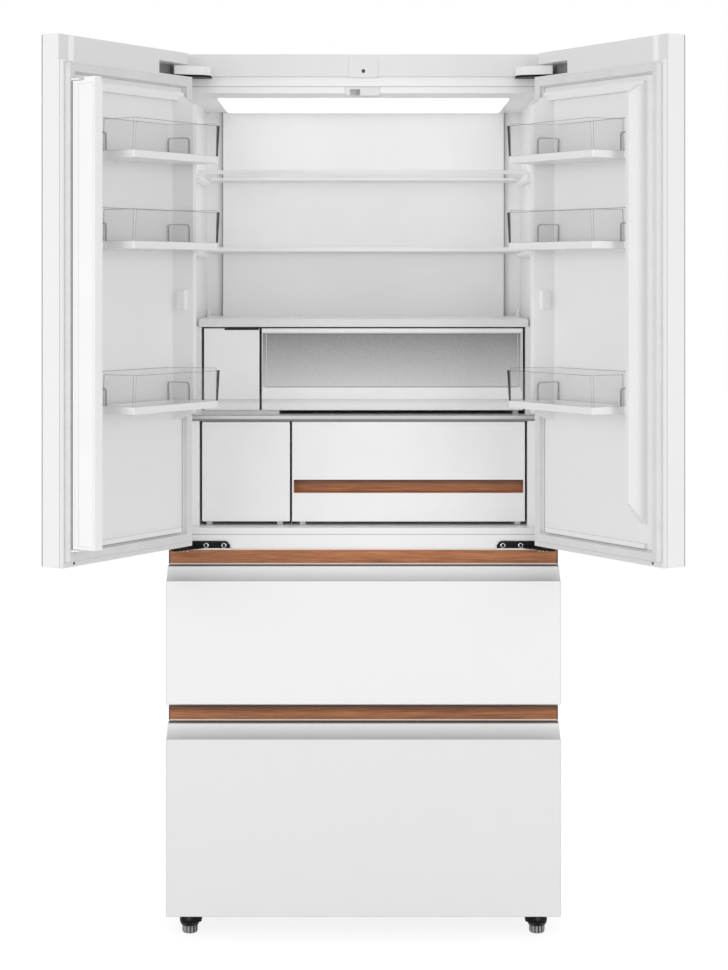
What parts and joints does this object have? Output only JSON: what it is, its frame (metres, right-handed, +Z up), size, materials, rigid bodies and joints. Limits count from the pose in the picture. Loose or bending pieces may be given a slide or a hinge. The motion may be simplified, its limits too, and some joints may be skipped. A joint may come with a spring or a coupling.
{
  "type": "multi-door refrigerator",
  "caption": "Tall refrigerator with French doors over freezer drawers, flip mullion, door bins, glass shelves, inner drawers, walnut trim strips and levelling feet.",
  "frame": {"origin": "on the floor, under the middle of the whole outline with both doors standing open and the drawers shut", "axes": "+Z up, -Y towards the user, +X to the user's right"},
  "size_m": [1.2278, 1.0024, 1.833],
  "materials": {
    "painted_steel_white": "satin",
    "galvanised_steel": "satin",
    "foam": "matte",
    "liner_white": "satin",
    "trim_white": "satin",
    "front_glass_white": "gloss",
    "front_surround": "satin",
    "seal_grey": "matte",
    "bin_white": "gloss",
    "clear_plastic": "clear",
    "shelf_glass": "clear",
    "window_grey": "smoked",
    "light_panel": "matte",
    "walnut": "satin",
    "trim_metal": "brushed",
    "hinge_black": "satin",
    "screw_steel": "polished",
    "slide_steel": "brushed",
    "dark_plastic": "matte",
    "grey_plastic": "matte",
    "board_green": "matte"
  },
  "bodies": {
    "cabinet": {"cabinet_shell": "painted_steel_white", "cabinet_foam": "foam", "fridge_liner": "liner_white", "freezer_liner": "liner_white", "rear_panel": "galvanised_steel", "machine_cover": "dark_plastic", "base_frame": "hinge_black", "header_cover": "trim_white", "mullion_guide": "liner_white", "walnut_strips": "walnut", "door_hinges": "hinge_black", "hinge_covers": "trim_white", "hinge_screws": "screw_steel", "duct_panels": "liner_white", "ceiling_light": "light_panel", "shelf_glass": "shelf_glass", "shelf_trims": "trim_metal", "cover_shelf": "liner_white", "divider_shelf": "liner_white", "slide_channels": "galvanised_steel", "evaporator": "trim_metal", "compressor": "hinge_black", "condenser": "dark_plastic", "drip_tray": "dark_plastic", "control_board": "board_green"},
    "left_door": {"left_door_panel": "front_glass_white", "left_door_frame": "trim_white", "left_door_liner": "liner_white", "left_door_gasket": "seal_grey", "left_bin_trays": "bin_white", "left_bin_guards": "clear_plastic"},
    "right_door": {"right_door_panel": "front_glass_white", "right_door_frame": "trim_white", "right_door_liner": "liner_white", "right_door_gasket": "seal_grey", "right_bin_trays": "bin_white", "right_bin_guards": "clear_plastic"},
    "mullion": {"flip_mullion": "trim_white"},
    "upper_freezer_drawer": {"upper_freezer_panel": "front_glass_white", "upper_freezer_body": "front_surround", "upper_freezer_gasket": "seal_grey", "upper_freezer_basket": "bin_white", "upper_freezer_rails": "slide_steel"},
    "lower_freezer_drawer": {"lower_freezer_panel": "front_glass_white", "lower_freezer_body": "front_surround", "lower_freezer_gasket": "seal_grey", "lower_freezer_basket": "bin_white", "lower_freezer_rails": "slide_steel"},
    "tank_body": {"water_tank": "bin_white"},
    "chill_tray_body": {"chill_tray": "bin_white", "chill_window": "window_grey"},
    "small_drawer_body": {"small_drawer": "bin_white"},
    "chill_drawer_body": {"chill_drawer": "bin_white", "chill_drawer_grip": "walnut"},
    "left_foot_body": {"left_foot": "grey_plastic"},
    "right_foot_body": {"right_foot": "grey_plastic"},
    "left_roller_body": {"left_roller": "grey_plastic"},
    "right_roller_body": {"right_roller": "grey_plastic"},
    "evaporator_fan_body": {"evaporator_fan": "grey_plastic"},
    "condenser_fan_body": {"condenser_fan": "dark_plastic"}
  },
  "joints": [
    {"name": "left_door_hinge", "type": "hinge", "parent": "cabinet", "child": "left_door", "pos_m": [-0.39, -0.12576, 1.324], "axis": [0, 0, -1], "range_deg": [-122.5, 0]},
    {"name": "right_door_hinge", "type": "hinge", "parent": "cabinet", "child": "right_door", "pos_m": [0.39, -0.12576, 1.324], "axis": [0, 0, 1], "range_deg": [-122.5, 0]},
    {"name": "mullion_flip", "type": "hinge", "parent": "left_door", "child": "mullion", "pos_m": [-0.53977, -0.46786, 1.3], "axis": [0, 0, 1], "range_deg": [-90, 0]},
    {"name": "upper_freezer_slide", "type": "slide", "parent": "cabinet", "child": "upper_freezer_drawer", "axis": [0, -1, 0], "range_m": [0, 0.33]},
    {"name": "lower_freezer_slide", "type": "slide", "parent": "cabinet", "child": "lower_freezer_drawer", "axis": [0, -1, 0], "range_m": [0, 0.28]},
    {"name": "tank_slide", "type": "slide", "parent": "cabinet", "child": "tank_body", "axis": [0, -1, 0], "range_m": [0, 0.2]},
    {"name": "chill_tray_slide", "type": "slide", "parent": "cabinet", "child": "chill_tray_body", "axis": [0, -1, 0], "range_m": [0, 0.2]},
    {"name": "small_drawer_slide", "type": "slide", "parent": "cabinet", "child": "small_drawer_body", "axis": [0, -1, 0], "range_m": [0, 0.3]},
    {"name": "chill_drawer_slide", "type": "slide", "parent": "cabinet", "child": "chill_drawer_body", "axis": [0, -1, 0], "range_m": [0, 0.3]},
    {"name": "left_foot_turn", "type": "hinge", "parent": "cabinet", "child": "left_foot_body", "pos_m": [-0.363, -0.06076, 0], "axis": [0, 0, 1], "continuous": true},
    {"name": "right_foot_turn", "type": "hinge", "parent": "cabinet", "child": "right_foot_body", "pos_m": [0.363, -0.06076, 0], "axis": [0, 0, 1], "continuous": true},
    {"name": "left_roller_turn", "type": "hinge", "parent": "cabinet", "child": "left_roller_body", "pos_m": [-0.345, 0.45624, 0.02], "axis": [1, 0, 0], "continuous": true},
    {"name": "right_roller_turn", "type": "hinge", "parent": "cabinet", "child": "right_roller_body", "pos_m": [0.345, 0.45624, 0.02], "axis": [1, 0, 0], "continuous": true},
    {"name": "evaporator_fan_turn", "type": "hinge", "parent": "cabinet", "child": "evaporator_fan_body", "pos_m": [0.245, 0.32124, 0.6315], "axis": [0, 1, 0], "continuous": true},
    {"name": "condenser_fan_turn", "type": "hinge", "parent": "cabinet", "child": "condenser_fan_body", "pos_m": [-0.155, 0.38874, 0.13], "axis": [1, 0, 0], "continuous": true}
  ],
  "couplings": [
    {"joint": "mullion_flip", "follows": "left_door_hinge", "ratio": 0.7346}
  ]
}
